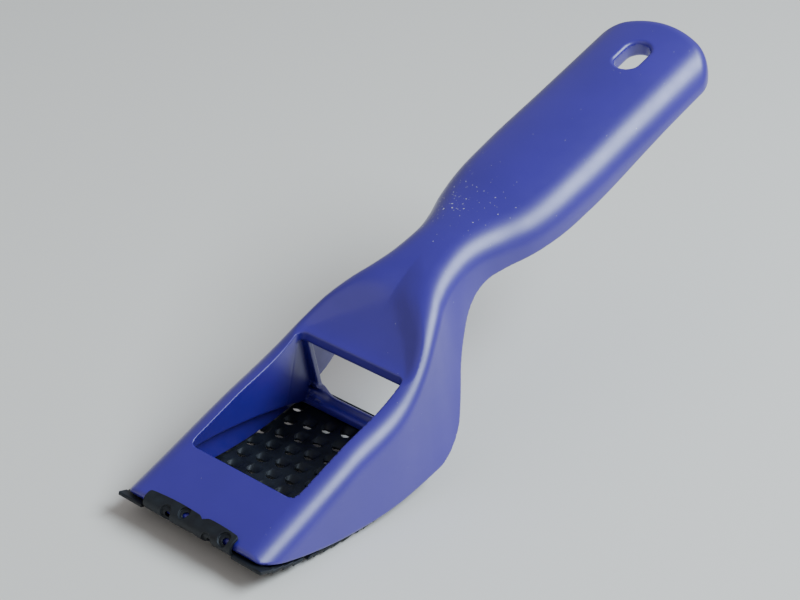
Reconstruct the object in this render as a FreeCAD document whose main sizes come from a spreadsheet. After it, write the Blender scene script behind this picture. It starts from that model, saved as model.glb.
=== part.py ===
"""Small wood rasp: a moulded plastic body that holds a replaceable perforated steel blade.

Frame, in millimetres: +X runs from the toe to the handle, +Y to the left, +Z up.
The origin is under the middle of the blade, at the tips of its lowest teeth.
"""
import FreeCAD, Part
import math
import os

import Sketcher

DOC = FreeCAD.newDocument("WoodRasp")
CENTRE_LINE = -2
ORIGIN = -1

# Body skin: one row for each cross-section from toe to handle end.
# place along X, height of the shoulders, half-width, shoulder radius, crown radius, draft of the sides
SKIN = [
    (-36.0, 4.40, 21.8, 5.6, 900.0, 6.5),
    (-20.0, 11.20, 21.7, 6.2, 900.0, 6.5),
    (0.0, 19.70, 21.3, 5.8, 900.0, 7.0),
    (19.0, 27.78, 20.6, 5.8, 900.0, 7.8),
    (25.0, 32.30, 19.1, 6.4, 600.0, 9.0),
    (30.0, 36.80, 17.2, 7.2, 300.0, 11.6),
    (35.0, 40.50, 14.9, 7.8, 150.0, 15.3),
    (40.0, 43.60, 12.5, 7.8, 90.0, 19.2),
    (45.0, 46.20, 10.9, 7.6, 60.0, 20.0),
    (50.0, 48.30, 10.2, 7.4, 45.0, 15.0),
    (56.0, 50.10, 10.5, 7.6, 42.0, 9.0),
    (62.0, 51.60, 12.2, 8.0, 44.0, 5.0),
    (69.0, 53.60, 14.8, 8.4, 44.0, 3.5),
    (77.0, 56.60, 16.5, 8.8, 44.0, 3.0),
    (88.0, 60.60, 17.3, 9.2, 44.0, 3.0),
    (110.0, 68.40, 17.4, 9.4, 44.0, 3.0),
    (145.0, 80.80, 17.5, 9.4, 44.0, 3.0),
]
# Hollow under the neck and handle: place, height of its roof's shoulders, half-width, radius, draft.
HOLLOW = [
    (21.9, 26.7, 15.6, 1.5, 6.5),
    (27.0, 28.3, 15.7, 1.6, 8.0),
    (32.0, 30.2, 14.8, 1.8, 12.5),
    (37.0, 32.8, 13.3, 2.2, 16.9),
    (42.0, 37.4, 10.9, 2.6, 19.5),
    (47.0, 42.4, 8.8, 3.0, 18.0),
    (53.0, 46.4, 8.0, 3.6, 12.0),
    (60.0, 48.7, 9.2, 4.3, 6.3),
    (69.0, 51.2, 12.4, 5.0, 3.5),
    (77.0, 54.2, 14.1, 5.6, 3.0),
    (88.0, 58.2, 14.9, 6.0, 3.0),
    (110.0, 66.0, 15.0, 6.2, 3.0),
    (145.0, 78.4, 15.1, 6.2, 3.0),
]
# Thumb dish behind the window: place, height of its floor, half-width of the floor, lean of its sides.
DISH = [
    (21.9, 29.0, 14.9, 74.0),
    (26.0, 30.5, 11.0, 60.0),
    (30.0, 31.9, 7.4, 50.0),
    (35.0, 34.2, 3.4, 47.0),
    (40.0, 38.4, 2.2, 43.0),
    (45.0, 43.3, 1.6, 46.0),
    (50.0, 47.9, 1.2, 66.0),
    (55.0, 51.6, 1.0, 74.0),
]

SINGLE = {
    "wall": 2.4,
    "base": -10.0,
    "hollow_base": -20.0,
    "dish_roof": 75.0,
    "roof_radius": 70.0,
    # cutting arc and rim
    "arc_centre": 110.7,
    "rim_radius": 108.7,
    "nose_x": -28.9,
    "heel_x": 29.5,
    "toe_reach": 6.0,
    "heel_corner_x": 35.2,
    "heel_round": 6.0,
    "rise_x": 46.3,
    "rise_z": 36.9,
    "rise_round": 11.0,
    "grip_x": 80.0,
    "grip_z": 46.4,
    "grip_round": 150.0,
    "rim_end_x": 146.0,
    "rim_end_z": 71.6,
    "below": -40.0,
    "beyond": 175.0,
    # rounded end of the handle, in plan
    "end_x": 144.3,
    "end_round": 40.0,
    "end_open": 30.0,
    "clear_side": 60.0,
    # window over the blade
    "window_front": -13.9,
    "window_rear": 21.9,
    "window_half": 15.6,
    "throat_front": -15.4,
    "throat_rear": 26.0,
    "throat_half": 19.6,
    "window_top": 34.0,
    # bar across the heel
    "bar_front": 27.4,
    "bar_bend_x": 29.0,
    "bar_bend": 4.0,
    "bar_turn": 68.0,
    "bar_thick": 1.6,
    "bar_half": 21.4,
    # ribs inside the side walls
    "rib_width": 1.7,
    "rib_top_x": 23.6,
    "rib_top_z": 27.0,
    "rib_foot_x": 29.2,
    "rib_foot_z": 7.4,
    "rib_half": 19.4,
    "rib_deep": 4.4,
    # hanging slot
    "slot_x": 127.6,
    "slot_z": 73.6,
    "slot_tilt": 19.0,
    "slot_radius": 3.4,
    "slot_length": 11.4,
    "slot_deep": 40.0,
    # blade
    "blade_gap": 0.35,
    "sheet": 0.8,
    "blade_half": 21.4,
    "lip_half": 16.6,
    "tab_slope": 23.025,
    "top_at_origin": 19.7,
    "nose_bend": 1.25,
    "front_edge": -29.9,
    "tab_length": 2.2,
    "tab_left": 13.6,
    "tab_right": 12.4,
    "tab_relief": 0.4,
    "tooth_height": 0.85,
    "tooth_half": 1.35,
    "tooth_length": 2.1,
    "tooth_set": 0.35,
    "tooth_flat": 0.15,
    "tooth_rake": 0.25,
    "hole_radius": 1.35,
    "row_x": 4.9,
    "row_y": 1.55,
    "step_x": -1.45,
    "step_y": 4.7,
    "edge_margin": 2.2,
    "cut_length": 400.0,
}


def make_sheet():
    """Puts every driving dimension on the sheet, one alias to a cell."""
    sheet = DOC.addObject("Spreadsheet::Sheet", "Dims")
    values = dict(SINGLE)
    for title, rows, names in (
        ("skin", SKIN, ("place", "top", "half", "shoulder", "crown", "draft")),
        ("hollow", HOLLOW, ("place", "top", "half", "shoulder", "draft")),
        ("dish", DISH, ("place", "floor", "flat", "lean")),
    ):
        for index, row in enumerate(rows):
            for name, value in zip(names, row):
                values[f"{title}_{name}_{index}"] = value
    for line, (alias, value) in enumerate(values.items(), start=1):
        sheet.set(f"A{line}", alias)
        sheet.set(f"B{line}", str(value))
        sheet.setAlias(f"B{line}", alias)
    DOC.recompute()
    return sheet


SHEET = make_sheet()


def dim(alias):
    """The number in one cell."""
    return float(SHEET.get(alias))


def new_body(name):
    """An empty PartDesign body with its own label."""
    body = DOC.addObject("PartDesign::Body", name)
    body.Label = name
    return body


def new_sketch(body, name, role, along=None):
    """A sketch on one origin plane of the body, moved along the plane's normal by a cell."""
    sketch = body.newObject("Sketcher::SketchObject", name)
    plane = [f for f in body.Origin.OriginFeatures if f.Role == role][0]
    sketch.AttachmentSupport = [(plane, "")]
    sketch.MapMode = "FlatFace"
    if along:
        sketch.setExpression("AttachmentOffset.Base.z", f"{along} * 1 mm")
    return sketch


def constrain(sketch, kind, *where, cell=None, unit="mm"):
    """Adds one constraint and, where a cell is named, binds it to that cell."""
    if cell is None:
        return sketch.addConstraint(Sketcher.Constraint(kind, *where))
    value = value_of(sketch, cell)
    if unit == "deg":
        value = math.radians(value)
    index = sketch.addConstraint(Sketcher.Constraint(kind, *where, value))
    sketch.setExpression(f"Constraints[{index}]", f"({cell}) * 1 {unit}")
    return index


def value_of(sketch, expression):
    """The plain number that an expression gives."""
    return float(sketch.evalExpression(expression))


def arch_sketch(body, name, row, base, draft, crown):
    """Upright cross-section: flat base, leaning sides, round shoulders and a crowned top."""
    sketch = new_sketch(body, name, "YZ_Plane", f"Dims.{row.format('place')}")
    top = f"Dims.{row.format('top')}"
    half = f"Dims.{row.format('half')}"
    shoulder = f"Dims.{row.format('shoulder')}"
    lean = math.radians(value_of(sketch, draft))
    foot, radius = value_of(sketch, base), value_of(sketch, shoulder)
    cy, cz = value_of(sketch, half) - radius, value_of(sketch, top) - radius
    big = value_of(sketch, crown)
    crown_z = cz - math.sqrt((big - radius) ** 2 - cy**2)
    turn = math.atan2(cz - crown_z, cy)
    side = (cy + radius * math.cos(lean), cz + radius * math.sin(lean))
    base_half = side[0] + (side[1] - foot) * math.tan(lean)

    def at(y, z):
        return FreeCAD.Vector(y, z, 0)

    def arc(y, z, size, start, end):
        circle = Part.Circle(at(y, z), at(0, 0) + FreeCAD.Vector(0, 0, 1), size)
        return Part.ArcOfCircle(circle, start, end)

    pieces = [
        Part.LineSegment(at(-base_half, foot), at(base_half, foot)),
        Part.LineSegment(at(base_half, foot), at(*side)),
        arc(cy, cz, radius, lean, turn),
        arc(0, crown_z, big, turn, math.pi - turn),
        arc(-cy, cz, radius, math.pi - turn, math.pi - lean),
        Part.LineSegment(at(-side[0], side[1]), at(-base_half, foot)),
    ]
    sketch.addGeometry(pieces, False)
    constrain(sketch, "Coincident", 0, 2, 1, 1)
    constrain(sketch, "Coincident", 0, 1, 5, 2)
    for first, second in ((1, 2), (2, 3), (3, 4), (4, 5)):
        constrain(sketch, "Tangent", first, 2, second, 1)
    constrain(sketch, "Horizontal", 0)
    constrain(sketch, "Symmetric", 1, 2, 5, 1, CENTRE_LINE)
    constrain(sketch, "PointOnObject", 3, 3, CENTRE_LINE)
    constrain(sketch, "Equal", 2, 4)
    constrain(sketch, "Radius", 2, cell=shoulder)
    constrain(sketch, "Radius", 3, cell=crown)
    constrain(sketch, "DistanceY", ORIGIN, 1, 0, 1, cell=base)
    constrain(sketch, "DistanceX", ORIGIN, 1, 2, 3, cell=f"{half} - {shoulder}")
    constrain(sketch, "DistanceY", ORIGIN, 1, 2, 3, cell=f"{top} - {shoulder}")
    constrain(sketch, "Angle", 1, cell=f"90 + {draft}", unit="deg")
    return sketch


def dish_sketch(body, name, index):
    """Cross-section of the thumb dish: a flat floor and two sides that lean outwards."""
    sketch = new_sketch(body, name, "YZ_Plane", f"Dims.dish_place_{index}")
    floor, flat, roof = f"Dims.dish_floor_{index}", f"Dims.dish_flat_{index}", "Dims.dish_roof"
    z, y, high = value_of(sketch, floor), value_of(sketch, flat), value_of(sketch, roof)
    lean = f"Dims.dish_lean_{index}"
    wide = y + (high - z) * math.tan(math.radians(value_of(sketch, lean)))
    corners = [(-y, z), (y, z), (wide, high), (-wide, high)]
    points = [FreeCAD.Vector(*c, 0) for c in corners]
    for start, end in zip(points, points[1:] + points[:1]):
        sketch.addGeometry(Part.LineSegment(start, end), False)
    for line in range(4):
        constrain(sketch, "Coincident", line, 2, (line + 1) % 4, 1)
    constrain(sketch, "Symmetric", 0, 1, 0, 2, CENTRE_LINE)
    constrain(sketch, "Symmetric", 2, 1, 2, 2, CENTRE_LINE)
    constrain(sketch, "DistanceX", 0, 1, 0, 2, cell=f"2 * {flat}")
    constrain(sketch, "DistanceY", ORIGIN, 1, 0, 1, cell=floor)
    constrain(sketch, "DistanceY", ORIGIN, 1, 2, 1, cell=roof)
    constrain(sketch, "Angle", 1, cell=f"90 - {lean}", unit="deg")
    return sketch


def outline_sketch(body, name, role, corners):
    """Closed outline through corners, each an X and a Y expression and a radius expression or None."""
    sketch = new_sketch(body, name, role)
    points = [FreeCAD.Vector(value_of(sketch, x), value_of(sketch, y), 0) for x, y, _ in corners]
    radii = [value_of(sketch, r) if r else 0.0 for _, _, r in corners]
    count = len(points)
    ends = []
    for i, point in enumerate(points):
        back = (points[i - 1] - point).normalize()
        onward = (points[(i + 1) % count] - point).normalize()
        reach = radii[i] / math.tan(back.getAngle(onward) / 2)
        ends.append((point + back * reach, point + onward * reach))
    for i in range(count):
        line = Part.LineSegment(ends[i][1], ends[(i + 1) % count][0])
        sketch.addGeometry(line, False)
    for i, (x, y, radius) in enumerate(corners):
        before = (i - 1) % count
        if not radius:
            constrain(sketch, "Coincident", before, 2, i, 1)
            constrain(sketch, "DistanceX", ORIGIN, 1, i, 1, cell=x)
            constrain(sketch, "DistanceY", ORIGIN, 1, i, 1, cell=y)
            continue
        round_corner(sketch, before, i, points[i], ends[i], (x, y, radius))
    return sketch


def round_corner(sketch, before, after, point, ends, cells):
    """Joins two lines with a tangent arc, and pins the corner where they would meet."""
    x, y, radius = cells
    back, onward = (ends[0] - point).normalize(), (ends[1] - point).normalize()
    size = value_of(sketch, radius)
    centre = point + (back + onward).normalize() * (size / math.sin(back.getAngle(onward) / 2))
    left_turn = back.cross(onward).z < 0
    first, last = (ends[0], ends[1]) if left_turn else (ends[1], ends[0])
    circle = Part.Circle(centre, FreeCAD.Vector(0, 0, 1), size)
    angles = [math.atan2((p - centre).y, (p - centre).x) for p in (first, last)]
    if angles[1] < angles[0]:
        angles[1] += 2 * math.pi
    arc = sketch.addGeometry(Part.ArcOfCircle(circle, *angles), False)
    pin = sketch.addGeometry(Part.Point(point), True)
    head, tail = (1, 2) if left_turn else (2, 1)
    constrain(sketch, "Tangent", before, 2, arc, head)
    constrain(sketch, "Tangent", arc, tail, after, 1)
    constrain(sketch, "PointOnObject", pin, 1, before)
    constrain(sketch, "PointOnObject", pin, 1, after)
    constrain(sketch, "DistanceX", ORIGIN, 1, pin, 1, cell=x)
    constrain(sketch, "DistanceY", ORIGIN, 1, pin, 1, cell=y)
    constrain(sketch, "Radius", arc, cell=radius)


def loft(body, kind, name, sketches):
    """A loft through the sketches, straight from one to the next, added to or cut from the body."""
    feature = body.newObject(f"PartDesign::{kind}", name)
    feature.Ruled = True
    feature.Profile = sketches[0]
    feature.Sections = sketches[1:]
    DOC.recompute()
    return feature


def pocket(body, name, sketch):
    """Cuts the sketch through the whole body, both ways from its plane."""
    feature = body.newObject("PartDesign::Pocket", name)
    feature.Profile = sketch
    feature.SideType = "Symmetric"
    feature.Type = "Length"
    feature.setExpression("Length", "Dims.cut_length * 1 mm")
    DOC.recompute()
    return feature


def half_arc(expression):
    """Height of the rim arc at a place along X, as an expression."""
    return f"Dims.arc_centre - sqrt(Dims.rim_radius * Dims.rim_radius - ({expression}) * ({expression}))"


def make_skin():
    """Outside of the body: a loft trimmed by the side view and by the rounded end."""
    body = new_body("skin")
    sections = [
        arch_sketch(
            body,
            f"SkinSection{i}",
            f"skin_{{}}_{i}",
            "Dims.base",
            f"Dims.skin_draft_{i}",
            f"Dims.skin_crown_{i}",
        )
        for i in range(len(SKIN))
    ]
    loft(body, "AdditiveLoft", "SkinLoft", sections)
    dish = [dish_sketch(body, f"DishSection{i}", i) for i in range(len(DISH))]
    loft(body, "SubtractiveLoft", "Dish", dish)
    slope = "tan(asin(Dims.heel_x / Dims.rim_radius))"
    heel_z = half_arc("Dims.heel_x")
    arc_corner = f"{heel_z} - Dims.heel_x * {slope}"
    heel_corner_z = f"{arc_corner} + Dims.heel_corner_x * {slope}"
    toe_z = f"{arc_corner} + (Dims.heel_x + Dims.toe_reach) * {slope}"
    corners = [
        ("-Dims.clear_side", "Dims.below", None),
        ("-Dims.clear_side", toe_z, None),
        ("-Dims.heel_x - Dims.toe_reach", toe_z, None),
        ("0", arc_corner, "Dims.rim_radius"),
        ("Dims.heel_corner_x", heel_corner_z, "Dims.heel_round"),
        ("Dims.rise_x", "Dims.rise_z", "Dims.rise_round"),
        ("Dims.grip_x", "Dims.grip_z", "Dims.grip_round"),
        ("Dims.rim_end_x", "Dims.rim_end_z", None),
        ("Dims.beyond", "Dims.rim_end_z", None),
        ("Dims.beyond", "Dims.below", None),
    ]
    pocket(body, "Underside", outline_sketch(body, "UndersideOutline", "XZ_Plane", corners))
    front = [
        ("-Dims.clear_side", "Dims.below", None),
        ("Dims.nose_x", "Dims.below", None),
        ("Dims.nose_x", "Dims.clear_side", None),
        ("-Dims.clear_side", "Dims.clear_side", None),
    ]
    pocket(body, "Nose", outline_sketch(body, "NoseOutline", "XZ_Plane", front))
    pocket(body, "HandleEnd", end_outline(body, "HandleEndOutline", "0"))
    return body


def end_outline(body, name, inset):
    """Plan outline of what lies beyond the rounded end of the handle."""
    centre, radius = "(Dims.end_x - Dims.end_round)", f"(Dims.end_round - {inset})"
    apex = f"{centre} + {radius} / cos(Dims.end_open * 1 deg)"
    side = f"{apex} - Dims.clear_side * tan(Dims.end_open * 1 deg)"
    corners = [
        (side, "Dims.clear_side", None),
        (apex, "0", radius),
        (side, "-Dims.clear_side", None),
        ("Dims.beyond", "-Dims.clear_side", None),
        ("Dims.beyond", "Dims.clear_side", None),
    ]
    return outline_sketch(body, name, "XY_Plane", corners)


def make_hollow():
    """Space inside the neck and handle, open underneath."""
    body = new_body("hollow")
    sections = [
        arch_sketch(
            body,
            f"HollowSection{i}",
            f"hollow_{{}}_{i}",
            "Dims.hollow_base",
            f"Dims.hollow_draft_{i}",
            "Dims.roof_radius",
        )
        for i in range(len(HOLLOW))
    ]
    loft(body, "AdditiveLoft", "HollowLoft", sections)
    pocket(body, "HollowEnd", end_outline(body, "HollowEndOutline", "Dims.wall"))
    return body


def make_window():
    """Window over the blade, which widens downwards to the throat."""
    wedge = DOC.addObject("Part::Wedge", "window")
    wedge.Label = "window"
    cells = {
        "Xmin": "throat_front",
        "Xmax": "throat_rear",
        "X2min": "window_front",
        "X2max": "window_rear",
        "Ymax": "window_top",
        "Zmax": "throat_half",
        "Z2max": "window_half",
    }
    for name, cell in cells.items():
        wedge.setExpression(name, f"Dims.{cell} * 1 mm")
    wedge.setExpression("Zmin", "-Dims.throat_half * 1 mm")
    wedge.setExpression("Z2min", "-Dims.window_half * 1 mm")
    wedge.setExpression("Ymin", "0 mm")
    wedge.Placement = FreeCAD.Placement(
        FreeCAD.Vector(0, 0, 0), FreeCAD.Rotation(FreeCAD.Vector(1, 0, 0), 90)
    )
    return wedge


def extrude_outline(name, points, low, high):
    """A solid from points in the side view, between two places across the body."""
    wire = Part.makePolygon([FreeCAD.Vector(x, low, z) for x, z in points + points[:1]])
    return Part.Face(wire).extrude(FreeCAD.Vector(0, high - low, 0))


def shape_feature(name, shape):
    """A Part::Feature with a label and a placement of its own."""
    feature = DOC.addObject("Part::Feature", name)
    feature.Label = name
    feature.Shape = shape
    feature.Placement = FreeCAD.Placement()
    return feature


def heel_curve(offset):
    """Points and directions along the heel at an offset outside the rim, from rim arc to the bend's end."""
    bend_x = dim("bar_bend_x")
    angle = math.asin(bend_x / dim("rim_radius"))
    radius = dim("bar_bend")
    centre_x = bend_x - radius * math.sin(angle)
    centre_z = dim("arc_centre") - (dim("rim_radius") - radius) * math.cos(angle)
    return centre_x, centre_z, angle, radius + offset


def strip(offset, thickness, start_x, low, high):
    """Sheet that follows the rim arc from start_x, then the bend round the heel."""
    inner = dim("rim_radius") + offset
    outer = inner + thickness
    zc = dim("arc_centre")
    cx, cz, angle, bend = heel_curve(offset)
    end = math.radians(dim("bar_turn"))
    start = math.asin(start_x / dim("rim_radius"))

    def on_arc(size, at):
        return FreeCAD.Vector(size * math.sin(at), low, zc - size * math.cos(at))

    def on_bend(size, at):
        return FreeCAD.Vector(cx + size * math.sin(at), low, cz - size * math.cos(at))

    def arc(place, size, first, last):
        middle = (first + last) / 2
        return Part.Arc(place(size, first), place(size, middle), place(size, last)).toShape()

    edges = [
        arc(on_arc, inner, start, angle),
        arc(on_bend, bend, angle, end),
        Part.makeLine(on_bend(bend, end), on_bend(bend + thickness, end)),
        arc(on_bend, bend + thickness, end, angle),
        arc(on_arc, outer, angle, start),
        Part.makeLine(on_arc(outer, start), on_arc(inner, start)),
    ]
    return Part.Face(Part.Wire(edges)).extrude(FreeCAD.Vector(0, high - low, 0))


def make_heel_bar():
    """Bar across the heel, which the rear lip of the blade wraps."""
    thick, half = dim("bar_thick"), dim("bar_half")
    return shape_feature("heel_bar", strip(-thick, thick, dim("bar_front"), -half, half))


def make_ribs():
    """One slanting rib inside each side wall, from the window's rear edge to the heel bar."""
    width = dim("rib_width")
    top, foot = (dim("rib_top_x"), dim("rib_top_z")), (dim("rib_foot_x"), dim("rib_foot_z"))
    points = [top, (top[0] + width, top[1]), (foot[0] + width, foot[1]), foot]
    outer, inner = dim("rib_half"), dim("rib_half") - dim("rib_deep")
    left = extrude_outline("rib", points, inner, outer)
    right = extrude_outline("rib", points, -outer, -inner)
    lean = math.atan2(dim("throat_half") - dim("window_half"), dim("window_top"))
    for rib, side in ((left, 1), (right, -1)):
        pivot = FreeCAD.Vector(0, side * outer, foot[1])
        rib.rotate(pivot, FreeCAD.Vector(1, 0, 0), side * math.degrees(lean))
    return shape_feature("ribs", Part.makeCompound([left, right]))


def make_slot():
    """Obround slot through the end of the handle."""
    radius, length = dim("slot_radius"), dim("slot_length")
    half = length / 2 - radius
    z_axis = FreeCAD.Vector(0, 0, 1)
    ends = [Part.makeCylinder(radius, dim("slot_deep"), FreeCAD.Vector(x, 0, 0), z_axis) for x in (-half, half)]
    middle = Part.makeBox(2 * half, 2 * radius, dim("slot_deep"), FreeCAD.Vector(-half, -radius, 0))
    slot = shape_feature("hanging_slot", middle.fuse(ends).removeSplitter())
    turn = FreeCAD.Rotation(FreeCAD.Vector(0, 1, 0), -dim("slot_tilt"))
    place = FreeCAD.Vector(dim("slot_x"), 0, dim("slot_z")) - turn.multVec(z_axis) * dim("slot_deep") / 2
    slot.Placement = FreeCAD.Placement(place, turn)
    return slot


def boolean(kind, name, base, tool):
    """A named Part boolean of two objects."""
    feature = DOC.addObject(f"Part::{kind}", name)
    feature.Base = base
    feature.Tool = tool
    feature.Label = name
    return feature


def make_frame():
    """The one-piece moulded body."""
    shell = boolean("Cut", "shell", make_skin(), make_hollow())
    opened = boolean("Cut", "opened", shell, make_window())
    barred = boolean("Fuse", "barred", opened, make_heel_bar())
    ribbed = boolean("Fuse", "ribbed", barred, make_ribs())
    return boolean("Cut", "handle_frame", ribbed, make_slot())


def nose_bend():
    """Centre of the bend round the nose and the directions where it starts and ends."""
    gap = dim("blade_gap")
    inner, bend = dim("rim_radius") + gap, dim("nose_bend")
    slope = math.radians(dim("tab_slope"))
    top = dim("top_at_origin") + gap / math.cos(slope)
    reach = inner - bend
    level = (top - bend / math.cos(slope)) - dim("arc_centre")
    a = 1 + math.tan(slope) ** 2
    b = 2 * math.tan(slope) * level
    c = level**2 - reach**2
    x = (-b - math.sqrt(b * b - 4 * a * c)) / (2 * a)
    z = top - bend / math.cos(slope) + math.tan(slope) * x
    return x, z, math.atan2(-x, dim("arc_centre") - z), slope


def arc_sheet(start, stop, low, high):
    """Piece of the blade's curved sheet between two directions along the arc and two places across it."""
    inner = dim("rim_radius") + dim("blade_gap")
    outer = inner + dim("sheet")
    zc = dim("arc_centre")

    def on_arc(size, at):
        return FreeCAD.Vector(size * math.sin(at), low, zc - size * math.cos(at))

    middle = (start + stop) / 2
    edges = [
        Part.Arc(on_arc(inner, stop), on_arc(inner, middle), on_arc(inner, start)),
        Part.LineSegment(on_arc(inner, start), on_arc(outer, start)),
        Part.Arc(on_arc(outer, start), on_arc(outer, middle), on_arc(outer, stop)),
        Part.LineSegment(on_arc(outer, stop), on_arc(inner, stop)),
    ]
    wire = Part.Wire([edge.toShape() for edge in edges])
    return Part.Face(wire).extrude(FreeCAD.Vector(0, high - low, 0))


def main_sheet():
    """Curved sheet from the nose to the heel, with a front edge on each side of the tab."""
    half, relief = dim("blade_half"), dim("tab_relief")
    bend = -nose_bend()[2]
    front = math.asin(dim("front_edge") / dim("rim_radius"))
    stop = math.asin(dim("bar_front") / dim("rim_radius"))
    left = arc_sheet(front, bend, dim("tab_left") + relief, half)
    right = arc_sheet(front, bend, -half, -dim("tab_right") - relief)
    return arc_sheet(bend, stop, -half, half).fuse([left, right])


def tab_sheet():
    """Narrow tab that bends round the nose and lies on top of the toe."""
    x, z, turn, slope = nose_bend()
    thick, bend = dim("sheet"), dim("nose_bend")
    low = -dim("tab_right")
    along = FreeCAD.Vector(math.cos(slope), 0, math.sin(slope)) * dim("tab_length")

    def on_nose(size, at):
        return FreeCAD.Vector(x - size * math.sin(at), low, z - size * math.cos(at))

    end = math.pi - slope
    middle = (turn + end) / 2
    inner_end, outer_end = on_nose(bend, end), on_nose(bend + thick, end)
    edges = [
        Part.Arc(on_nose(bend, turn), on_nose(bend, middle), inner_end),
        Part.LineSegment(inner_end, inner_end + along),
        Part.LineSegment(inner_end + along, outer_end + along),
        Part.LineSegment(outer_end + along, outer_end),
        Part.Arc(outer_end, on_nose(bend + thick, middle), on_nose(bend + thick, turn)),
        Part.LineSegment(on_nose(bend + thick, turn), on_nose(bend, turn)),
    ]
    wire = Part.Wire([edge.toShape() for edge in edges])
    return Part.Face(wire).extrude(FreeCAD.Vector(0, dim("tab_left") + dim("tab_right"), 0))


def lattice():
    """Places of the teeth along the arc and across the blade."""
    reach = dim("bar_front") - dim("edge_margin") / 2
    side = dim("blade_half") - dim("edge_margin")
    places = []
    for row in range(-12, 13):
        for step in range(-12, 13):
            along = row * dim("row_x") + step * dim("step_x")
            across = row * dim("row_y") + step * dim("step_y")
            if abs(along) < reach and abs(across) < side:
                places.append((along, across))
    return places


def on_blade(solid, along, across):
    """Moves a solid made at the arc's lowest point to its place on the arc."""
    moved = solid.copy()
    moved.translate(FreeCAD.Vector(0, across, 0))
    centre = FreeCAD.Vector(0, 0, dim("arc_centre"))
    turn = math.degrees(along / dim("rim_radius"))
    moved.rotate(centre, FreeCAD.Vector(0, 1, 0), -turn)
    return moved


def tooth_solid():
    """Wedge that stands out of the sheet on the handle side of its hole, with its edge towards the toe."""
    bottom = dim("arc_centre") - dim("rim_radius") - dim("blade_gap") - dim("sheet")
    tip = bottom - dim("tooth_height")
    edge = dim("hole_radius") * dim("tooth_set")
    back = edge + dim("tooth_length")
    root = bottom + dim("sheet") / 2
    flat, rake = dim("tooth_flat"), dim("tooth_rake")
    points = [(edge + rake, root), (edge, tip), (edge + flat, tip), (back, bottom), (back, root)]
    return extrude_outline("tooth", points, -dim("tooth_half"), dim("tooth_half"))


def make_blade():
    """Perforated and toothed steel blade."""
    thick, gap, half = dim("sheet"), dim("blade_gap"), dim("lip_half")
    plate = shape_feature("plate", main_sheet())
    tab = shape_feature("tab", tab_sheet())
    lip = shape_feature("rear_lip", strip(gap, thick, dim("bar_front"), -half, half))
    depth = dim("arc_centre") - dim("rim_radius")
    hole = Part.makeCylinder(dim("hole_radius"), 3 * depth, FreeCAD.Vector(0, 0, -depth))
    tooth = tooth_solid()
    places = lattice()
    holes = shape_feature("holes", Part.makeCompound([on_blade(hole, *p) for p in places]))
    teeth = shape_feature("teeth", Part.makeCompound([on_blade(tooth, *p) for p in places]))
    ends = boolean("Fuse", "ends", plate, tab)
    bare = boolean("Fuse", "bare", ends, lip)
    drilled = boolean("Cut", "drilled", bare, holes)
    return boolean("Fuse", "rasp_blade", drilled, teeth)


def check(parts):
    """Stops if an object failed, or if a piece is not one valid solid."""
    for item in DOC.Objects:
        if {"Invalid", "Error"} & set(item.State):
            raise RuntimeError(f"{item.Label} failed: {item.State}")
    for part in parts:
        shape = part.Shape
        if shape.isNull() or not shape.isValid() or len(shape.Solids) != 1:
            raise RuntimeError(f"{part.Label}: valid {shape.isValid()}, {len(shape.Solids)} solids")
        print(part.Label, "volume", round(shape.Volume), shape.BoundBox)


def main():
    parts = [make_frame(), make_blade()]
    DOC.recompute()
    check(parts)
    os.makedirs("parts", exist_ok=True)
    for part in parts:
        part.Shape.exportStep(f"parts/{part.Label}.step")


main()
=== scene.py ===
"""Looks of the small wood rasp: satin blue moulded body and black perforated blade.

Shapes are described in millimetres as distance fields, negative inside the solid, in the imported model's
own frame: +X from the toe to the handle, +Y to the left as seen from the toe, +Z up. They are meshed and
scaled to metres at the end.
"""

import math

import bpy
import numpy as np
from mathutils import Matrix, Vector


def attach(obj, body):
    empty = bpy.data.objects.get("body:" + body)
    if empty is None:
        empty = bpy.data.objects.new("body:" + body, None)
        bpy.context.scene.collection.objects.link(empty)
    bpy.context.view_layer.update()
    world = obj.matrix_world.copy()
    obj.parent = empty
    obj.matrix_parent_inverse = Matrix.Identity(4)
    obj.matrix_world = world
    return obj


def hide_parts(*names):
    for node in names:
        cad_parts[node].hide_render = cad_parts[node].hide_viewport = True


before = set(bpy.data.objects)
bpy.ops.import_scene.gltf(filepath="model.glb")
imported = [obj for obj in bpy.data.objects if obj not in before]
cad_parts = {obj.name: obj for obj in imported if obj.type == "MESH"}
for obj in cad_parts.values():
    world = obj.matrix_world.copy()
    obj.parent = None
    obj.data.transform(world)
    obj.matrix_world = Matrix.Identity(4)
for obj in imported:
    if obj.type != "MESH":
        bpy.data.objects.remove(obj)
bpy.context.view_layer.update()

MM = 0.001
TINY = 1e-6

# ---------------------------------------------------------------- the body's dimensions, in millimetres

# Sections of the outer skin: place along X, half-width, shoulder height, shoulder radius, crown radius, and
# side draft in degrees
SKIN_SECTIONS = (
    (-36, 21.8, 4.4, 5.6, 900, 6.5),
    (-20, 21.7, 11.2, 6.2, 900, 6.5),
    (0, 21.3, 19.7, 5.8, 900, 7.0),
    (19, 20.6, 27.78, 5.8, 900, 8.0),
    (25, 19.1, 32.6, 6.0, 600, 10.3),
    (30, 17.2, 37.3, 6.6, 300, 13.2),
    (35, 14.9, 41.1, 7.2, 150, 16.2),
    (40, 12.5, 44.0, 7.4, 90, 19.6),
    (45, 10.9, 46.3, 7.4, 60, 20.0),
    (50, 10.2, 48.3, 7.4, 45, 15.0),
    (56, 10.5, 50.1, 7.6, 42, 9.0),
    (62, 12.2, 51.6, 8.0, 44, 5.0),
    (69, 14.8, 53.6, 8.4, 44, 3.5),
    (77, 16.5, 56.6, 8.8, 44, 3.0),
    (88, 17.3, 60.6, 9.2, 44, 3.0),
    (110, 17.4, 68.4, 9.4, 44, 3.0),
    (145, 17.5, 80.8, 9.4, 44, 3.0),
)

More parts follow.
